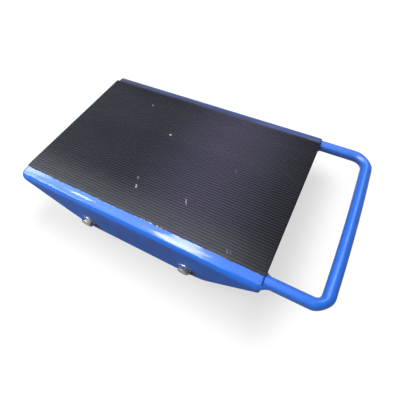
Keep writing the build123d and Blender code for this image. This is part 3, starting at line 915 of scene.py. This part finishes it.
groove = np.linspace(-1, 1, 17) * np.arccos(ring_shoulder / race_radius)
groove_along = race_radius * np.sin(groove)
groove_depth = race_radius * np.cos(groove)
outer_half = [
    (outer_land, -shield_start),
    (lip_radius, -shield_start),
    (lip_radius, -bearing_half_width),
    (seat_radius, -bearing_half_width),
]
outer_edges = [sheet_edge, sheet_edge, land_edge, ring_edge]
outer_profile = softened(both_halves(np.array(outer_half)), outer_edges + outer_edges[::-1])
outer_race = np.stack([pitch_radius + groove_depth, groove_along], -1)[::-1]
inner_half = [(inner_land, bearing_half_width), (axle_radius, bearing_half_width)]
inner_profile = softened(both_halves(np.array(inner_half)), [land_edge, ring_edge, ring_edge, land_edge])
inner_race = np.stack([pitch_radius - groove_depth, groove_along], -1)
shield_profile = softened([
    (inner_land + shield_gap, shield_start),
    (lip_radius, shield_start),
    (lip_radius, shield_start + shield_sheet),
    (inner_land + shield_gap, shield_start + shield_sheet),
], [sheet_edge] * 4)
outer_ring = np.concatenate([outer_profile, outer_race])
inner_ring = np.concatenate([inner_profile, inner_race])
bearing_pieces = [
    ("outer_ring", "outer_rings", outer_ring, ground_steel, "bearing_steel"),
    ("inner_ring", "inner_rings", inner_ring, ground_steel, "bearing_steel"),
    ("shield_out", "shields", shield_profile, shield_sheet_steel, "shield_steel"),
    ("shield_in", "shields", shield_profile * [1, -1], shield_sheet_steel, "shield_steel"),
]
for roller, (x, y, _) in roller_places.items():
    for end_name, way in sides.items():
        for piece_name, node, profile, material, slot in bearing_pieces:
            rings = turned(profile, x, y + way * bearing_offset)
            body = "frame" if node == "inner_rings" else f"{roller}_roller"
            add_rings(f"{roller}_{piece_name}_{end_name}", rings, True, material, body, slot,
                      [f"{roller}_{node}"])
    frame["nodes"][f"{roller}_balls"].material_slots[0].material = ground_steel
    frame["nodes"][f"{roller}_cages"].material_slots[0].material = cage_nylon

# Retaining rings: flat spring rings with rounded edges and an opening at the bottom, sprung into
# the groove outside each bearing. Stamped from spring steel, with an eye at each end.
ring_half_thickness = 0.8
ring_depth = 4.5
ring_play = 0.1
stamped_edge = 0.2
ring_opening = np.radians(26)
eye_depth = 1.6
eye_length = np.radians(9)

# Phosphated spring steel: nearly black, matt and slightly oily.
black_spring_steel, tree, coords = start_material("phosphated_spring_steel")
crystals = add(tree, "TexNoise", {"Vector": coords, "Scale": per_metre(1.0), "Detail": 3.0})
colour = add(tree, "MixRGB", {"Fac": crystals, "Color1": "#1D1D1E", "Color2": "#343332"})
rough = add(tree, "MapRange", {"Value": crystals, "To Min": 0.4, "To Max": 0.65})
finish_material(tree, {"Base Color": colour, "Metallic": 0.6, "Roughness": rough})


def retaining_ring(x, y):
    """Rounded section carried round the axle's line from one side of the opening to the other. Its
    inner edge reaches further in near both ends, by a smooth step, where the eyes are."""
    share = np.linspace(0, 1, 140)[:, None]
    angle = -np.pi / 2 + ring_opening / 2 + share * (2 * np.pi - ring_opening)
    to_end = np.clip(np.minimum(share, 1 - share) * (2 * np.pi - ring_opening) / eye_length, 0, 1)
    eye = eye_depth * (1 - to_end ** 2 * (3 - 2 * to_end))
    half_section = np.array([(0, -ring_half_thickness), (1, -ring_half_thickness)])
    section = softened(both_halves(half_section), [stamped_edge] * 4)
    radius = groove_radius - ring_play - (1 - section[:, 0]) * (ring_depth + eye)
    ring_x = x + radius * np.cos(angle)
    ring_z = axle_height + radius * np.sin(angle)
    return np.stack(np.broadcast_arrays(ring_x, y + section[:, 1], ring_z), -1)


for roller, (x, y, _) in roller_places.items():
    for end_name, way in sides.items():
        rings = retaining_ring(x, y + way * groove_middle)
        add_rings(f"{roller}_retaining_ring_{end_name}", rings, False, black_spring_steel,
                  f"{roller}_roller", "spring_steel", [f"{roller}_retaining_rings"])

# Axle bolts and lock washers: M8 hex bolts, cold headed and zinc plated, each on a thin washer,
# screwed through the side plate into the end of an axle.
bolt_radius = 4.0
bolt_length = 25.0
flat_radius = 6.5
bolt_head_height = 5.3
bolt_top_radius = 6.1
bolt_face_radius = 6.3
chamfer_slope = np.tan(np.radians(30))
edge_softness = 0.09
bolt_crease = 28.0
tip_chamfer = 0.8
neck_fillet = 0.3
dish_radii = np.array([5.2, 4.7, 2.0])
dish_depths = np.array([0.0, 0.3, 0.35])
bolt_shade_strength = 0.8
bolt_shade_height = 0.75
bolt_shade_right = 2 / 3
washer_thickness = 0.8
washer_radius = 7.5
washer_bore = 4.2
washer_bore_edge = 0.1
washer_rim_edge = 0.2


def hex_bolt(x, side):
    """Rings from the tip of the shank to the top of the head. In the head a ring's radius at an angle
    is the flats' radius over the cosine of the angle to the nearest flat, or that of the cone above
    or below where it is smaller; a soft minimum rounds the edge between them. The top is dished."""
    angle = np.linspace(0, 2 * np.pi, 96, endpoint=False)
    to_flat = (angle + np.pi / 6) % (np.pi / 3) - np.pi / 6
    hexagon = flat_radius / np.cos(to_flat)
    height = bolt_head_height * (0.5 - 0.5 * np.cos(np.linspace(0, np.pi, 22)))[:, None]
    upper_cone = bolt_top_radius + (bolt_head_height - height) / chamfer_slope
    lower_cone = bolt_face_radius + height / chamfer_slope
    cone = np.minimum(upper_cone, lower_cone)
    head = -edge_softness * np.logaddexp(-hexagon / edge_softness, -cone / edge_softness)
    shank = np.array([
        (bolt_radius - tip_chamfer, -bolt_length),
        (bolt_radius, tip_chamfer - bolt_length),
        (bolt_radius, -neck_fillet),
        (bolt_radius + neck_fillet, 0),
    ])
    around = np.ones_like(angle)
    radius = np.concatenate([shank[:, :1] * around, head, dish_radii[:, None] * around])
    along = np.concatenate([shank[:, 1:], height, bolt_head_height - dish_depths[:, None]])
    y = side * (half_width + washer_thickness + along)
    z = axle_height + radius * np.sin(angle)
    return np.stack(np.broadcast_arrays(x + radius * np.cos(angle), y, z), -1)


washer_corners = [
    (washer_bore, 0),
    (washer_radius, 0),
    (washer_radius, washer_thickness),
    (washer_bore, washer_thickness),
]
washer_edges = [washer_bore_edge, washer_rim_edge, washer_rim_edge, washer_bore_edge]
washer_profile = softened(washer_corners, washer_edges)
for axle_name, axle_x in axle_places.items():
    for side_name, side in sides.items():
        bolt = hex_bolt(axle_x, side)
        bolt_piece = add_rings(f"{axle_name}_{side_name}_bolt", bolt, False, zinc_plate, "frame",
                               "zinc_steel", ["axle_bolts"], crease=bolt_crease)
        # Painted shade and a painted dark reflection on each head's outer face, right side and lower
        # half.
        up_head = (side * bolt[..., 1] - half_width - washer_thickness) / bolt_head_height
        to_right = (bolt[..., 0] - axle_x) / flat_radius
        below = (axle_height - bolt[..., 2]) / flat_radius
        on_face = share_of(up_head, bolt_shade_height, 1)
        on_right = share_of(to_right, 0, bolt_shade_right)
        soiled = np.maximum.reduce([on_face, on_right, share_of(below, 0, 1)])
        give_values(bolt_piece, "painted_bolt_shade", bolt_shade_strength * soiled)
        washer = turned(washer_profile * [1, side], axle_x, side * half_width)
        add_rings(f"{axle_name}_{side_name}_lock_washer", washer, True, zinc_plate, "frame", "zinc_steel",
                  ["lock_washers"])

# Floor and backdrop: a plain studio floor of mid-grey card, so that it throws little light back on
# the skate's sides. It glows white for the camera and in reflections, and less so beside the skate:
# the dimmer glow there is a painted shadow round the footprint, over the real shadow.
floor_size = 12.0
glow_in_painted_shadow = 0.64
glow_away = 0.9
painted_shadow_reach = 60.0


def seen_rays(tree):
    """1 for rays that end in the picture: straight, in a reflection or through something clear."""
    kinds = ("Camera", "Glossy", "Transmission")
    straight, reflected, through = (add(tree, "LightPath", output=f"Is {kind} Ray") for kind in kinds)
    outside_glass = add(tree, "Math", {0: straight, 1: reflected}, operation="MAXIMUM")
    return add(tree, "Math", {0: outside_glass, 1: through}, operation="MAXIMUM")


# Matt grey card: rolled paper board with no gloss, whose glow grows from the skate's footprint
# out, leaving a painted shadow round it.
studio_floor, tree, coords = start_material("studio_floor")
footprint = np.array([deck_middle, 0.0, 0.0]) * MILLIMETRE
half_footprint = np.array([half_length, half_width, 1.0]) * MILLIMETRE
offset = add(tree, "VectorMath", {0: coords, 1: footprint}, operation="SUBTRACT")
one_sided = add(tree, "VectorMath", {0: offset}, operation="ABSOLUTE")
beyond = add(tree, "VectorMath", {0: one_sided, 1: half_footprint}, operation="SUBTRACT")
outside = add(tree, "VectorMath", {0: beyond}, operation="MAXIMUM")
from_skate = add(tree, "VectorMath", {0: outside}, "Value", operation="LENGTH")
outside_painted_shadow = add(tree, "MapRange", {"Value": from_skate, "From Max": painted_shadow_reach * MILLIMETRE,
                                        "To Min": glow_in_painted_shadow, "To Max": glow_away},
                     interpolation_type="SMOOTHSTEP")
glow = add(tree, "Math", {0: outside_painted_shadow, 1: seen_rays(tree)}, operation="MULTIPLY")
finish_material(tree, {"Base Color": "#707070", "Roughness": 0.9, "Specular IOR Level": 0.0,
                       "Emission Color": "#FFFFFF", "Emission Strength": glow})

floor_mesh = bpy.data.meshes.new("floor")
floor_corners = np.array([(-1, -1, 0), (1, -1, 0), (1, 1, 0), (-1, 1, 0)]) * floor_size / 2
floor_mesh.from_pydata(floor_corners.tolist(), [], [(0, 1, 2, 3)])
floor_mesh.materials.append(studio_floor)
floor = bpy.data.objects.new("floor", floor_mesh)
bpy.context.scene.collection.objects.link(floor)

# Studio light: a white surround, a softbox overhead and a low fill from the far side light the
# surfaces. Nine flat lamps only show as reflections: they draw the pale band and the white streaks
# along the plate's near bend and the sheen on its far strip and on the handle.
surround_light = 0.16
surround_seen = 1.0
world = bpy.data.worlds.new("white_surround")
bpy.context.scene.world = world
world.use_nodes = True
tree = world.node_tree
tree.nodes.clear()
strength = add(tree, "MapRange", {"Value": seen_rays(tree), "To Min": surround_light,
                                  "To Max": surround_seen})
surround = add(tree, "Background", {"Color": "#FFFFFF", "Strength": strength})
add(tree, "OutputWorld", {"Surface": surround})


def add_lamp(name, place, size, radiance, aim=None, lights_surfaces=False, colour="#FFFFFF"):
    """Flat lamp of a given brightness: its power is pi times its area times its radiance. It faces the
    floor below it or a given aim, and lights surfaces or else only shows in reflections."""
    width, height = size
    light = bpy.data.lights.new(name, "AREA")
    light.shape = "RECTANGLE"
    light.size = width
    light.size_y = height
    light.color = linear(colour)[:3]
    light.energy = np.pi * width * height * radiance
    lamp = bpy.data.objects.new(name, light)
    lamp.location = place
    facing = Vector(aim or (place[0], place[1], 0.0)) - Vector(place)
    lamp.rotation_euler = facing.to_track_quat("-Z", "Y").to_euler()
    lamp.visible_camera = False
    lamp.visible_diffuse = lights_surfaces
    lamp.visible_glossy = not lights_surfaces
    bpy.context.scene.collection.objects.link(lamp)


deck_aim = (0.0, 0.0, 0.05)
add_lamp("softbox", (-0.73, -0.37, 1.29), (0.9, 0.9), 10.5, deck_aim, lights_surfaces=True)
add_lamp("far_fill", (0.25, 1.50, 0.36), (1.4, 0.5), 3.4, deck_aim, lights_surfaces=True)
add_lamp("pale_ceiling", (-0.75, -0.60, 1.0), (1.3, 2.0), 8.5, colour="#F7FFF6")
add_lamp("strip_light", (-0.325, -0.62, 0.99), (0.25, 1.4), 42.0, (-0.3226, -0.60, 0.0), colour="#FFF0F8")
add_lamp("strip_end", (-0.25, 0.25, 0.985), (0.13, 0.34), 32.0)
add_lamp("small_light", (-0.83, -0.05, 0.98), (0.1, 0.3), 52.0)
add_lamp("far_window", (-1.33, -0.45, 0.97), (0.2, 1.5), 12.0, (-1.3264, -0.43, 0.0))
add_lamp("low_window", (-1.65, -1.45, 0.965), (0.4, 0.8), 26.0)
add_lamp("grey_ceiling", (0.10, -0.35, 1.02), (0.4, 1.5), 4.5)
add_lamp("dim_ceiling", (0.05, 0.75, 1.01), (0.6, 0.7), 6.0)
add_lamp("dim_light", (-0.03, 0.65, 0.96), (0.15, 0.4), 10.0)

# Camera: the photograph's viewpoint, found from the deck, handle and bolts, close above the
# near side and looking down, tilted a little.
camera_place = Vector((0.11446, -0.17324, 0.32494))
camera_aim = Vector((0.04043, -0.05078, 0.0875))
camera_roll = np.radians(-4.474)
camera_data = bpy.data.cameras.new("photo_camera")
camera_data.sensor_width = 36.0
camera_data.lens = 24.381
camera_data.shift_x = -0.01914
camera_data.shift_y = 0.02289
camera_data.clip_start = 0.01
camera = bpy.data.objects.new("photo_camera", camera_data)
level_view = (camera_aim - camera_place).to_track_quat("-Z", "Y").to_matrix().to_4x4()
tilt = Matrix.Rotation(camera_roll, 4, "Z")
camera.matrix_world = Matrix.Translation(camera_place) @ level_view @ tilt
bpy.context.scene.collection.objects.link(camera)
bpy.context.scene.camera = camera
bpy.context.scene.view_settings.view_transform = "Standard"
